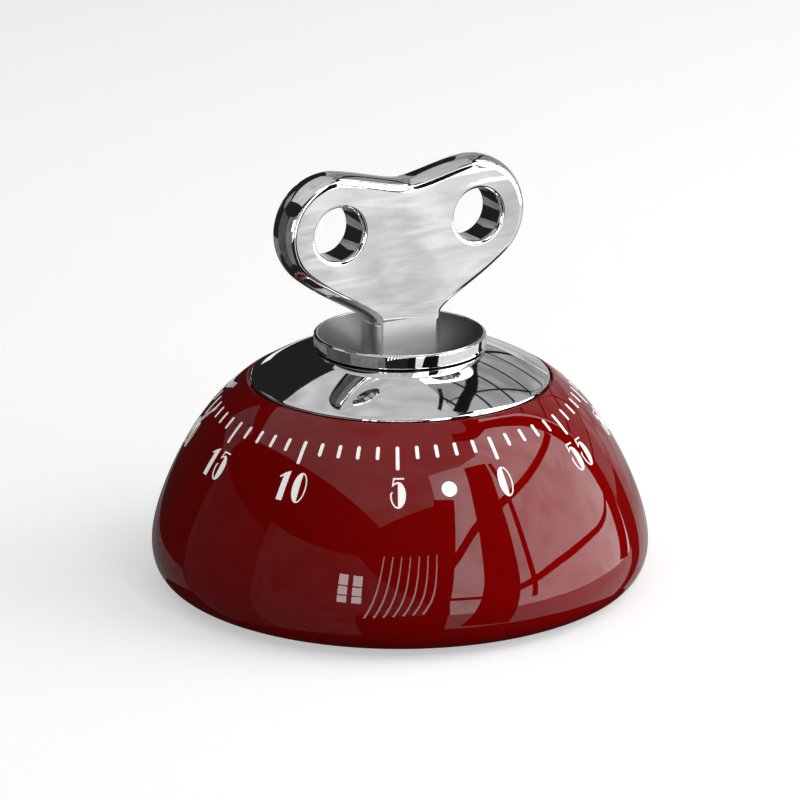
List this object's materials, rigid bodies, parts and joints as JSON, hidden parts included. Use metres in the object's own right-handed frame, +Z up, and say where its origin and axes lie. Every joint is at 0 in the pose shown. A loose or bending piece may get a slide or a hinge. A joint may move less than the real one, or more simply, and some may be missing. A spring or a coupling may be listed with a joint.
{
  "type": "kitchen timer",
  "caption": "Wind-up kitchen timer: a glossy dome with a printed minute scale, a chrome cap, and a two-lobed chrome key that turns to set the time and drives a clockwork and a bell.",
  "frame": {"origin": "centre of the feet, on the surface the timer stands on", "axes": "+Z up along the key and main arbor; -Y towards the 0 mark of the scale; the key lies in the XZ plane at 0"},
  "size_m": [0.1, 0.1, 0.0848],
  "materials": {
    "lacquer": "deep glossy red lacquer",
    "chrome": "polished chrome plate",
    "brass": "stamped brass, satin",
    "steel": "turned steel",
    "spring_steel": "blued spring steel",
    "bell_steel": "plated bell steel",
    "enamel": "satin black enamel",
    "rubber": "matte black rubber",
    "print": "white screen-printed enamel of the minute scale, used by the printed marks on the dome"
  },
  "bodies": {
    "case": {"dome_shell": "lacquer", "top_cap": "chrome", "cap_clip_ring": "spring_steel", "base_plate": "enamel", "foot_1": "rubber", "foot_2": "rubber", "foot_3": "rubber", "base_screw_1": "steel", "base_screw_2": "steel", "base_screw_3": "steel", "movement_leg_1": "steel", "movement_leg_2": "steel", "movement_leg_3": "steel", "movement_lower_plate": "brass", "movement_upper_plate": "brass", "pillar_1": "brass", "pillar_2": "brass", "pillar_3": "brass", "pillar_screw_1": "steel", "pillar_screw_2": "steel", "pillar_screw_3": "steel", "bell": "bell_steel", "bell_post": "steel", "bell_screw": "steel", "mainspring": "spring_steel", "mainspring_stud": "steel", "stop_pin": "steel", "hairspring": "spring_steel", "hairspring_stud": "steel", "hammer_spring": "spring_steel"},
    "key_train": {"key": "chrome", "key_pin": "steel", "key_cup": "chrome", "main_arbor": "steel", "stop_arm": "steel", "ratchet_wheel": "steel", "main_wheel": "brass", "trip_cam": "brass", "click_rivet": "steel", "click_spring": "spring_steel"},
    "click": {"click": "steel"},
    "second": {"second_pinion": "steel", "second_wheel": "brass"},
    "third": {"third_pinion": "steel", "third_wheel": "brass"},
    "escape": {"escape_pinion": "steel", "escape_wheel": "brass"},
    "pallets": {"pallet_arbor": "steel", "pallet_lever": "brass"},
    "balance": {"balance_staff": "steel", "balance_wheel": "brass"},
    "hammer": {"hammer_arbor": "steel", "hammer_lever": "brass", "hammer_rod": "steel", "hammer_head": "brass"}
  },
  "joints": [
    {"name": "key_turn", "type": "hinge", "parent": "case", "child": "key_train", "pos_m": [0, 0, 0.05], "axis": [0, 0, -1], "range_deg": [0, 348]},
    {"name": "second_turn", "type": "hinge", "parent": "case", "child": "second", "pos_m": [0.01638, 0.01147, 0.025], "axis": [0, 0, -1], "continuous": true},
    {"name": "third_turn", "type": "hinge", "parent": "case", "child": "third", "pos_m": [0.01993, -0.00166, 0.025], "axis": [0, 0, -1], "continuous": true},
    {"name": "escape_turn", "type": "hinge", "parent": "case", "child": "escape", "pos_m": [0.01484, -0.0134, 0.025], "axis": [0, 0, -1], "continuous": true},
    {"name": "balance_swing", "type": "hinge", "parent": "case", "child": "balance", "pos_m": [0.00268, -0.02285, 0.025], "axis": [0, 0, -1], "range_deg": [-30, 30]},
    {"name": "pallet_rock", "type": "hinge", "parent": "case", "child": "pallets", "pos_m": [0.00932, -0.0177, 0.025], "axis": [0, 0, -1], "range_deg": [-6, 6]},
    {"name": "hammer_swing", "type": "hinge", "parent": "case", "child": "hammer", "pos_m": [-0.02125, 0.00569, 0.026], "axis": [0, 0, -1], "range_deg": [-3.5, 6]},
    {"name": "click_lift", "type": "hinge", "parent": "key_train", "child": "click", "pos_m": [-0.00647, -0.0089, 0.03], "axis": [0, 0, 1], "range_deg": [0, 8]}
  ],
  "couplings": [
    {"joint": "second_turn", "follows": "key_turn", "ratio": -9},
    {"joint": "third_turn", "follows": "key_turn", "ratio": 67.5},
    {"joint": "escape_turn", "follows": "key_turn", "ratio": -472.5},
    {"joint": "pallet_rock", "follows": "balance_swing", "ratio": -0.2}
  ]
}
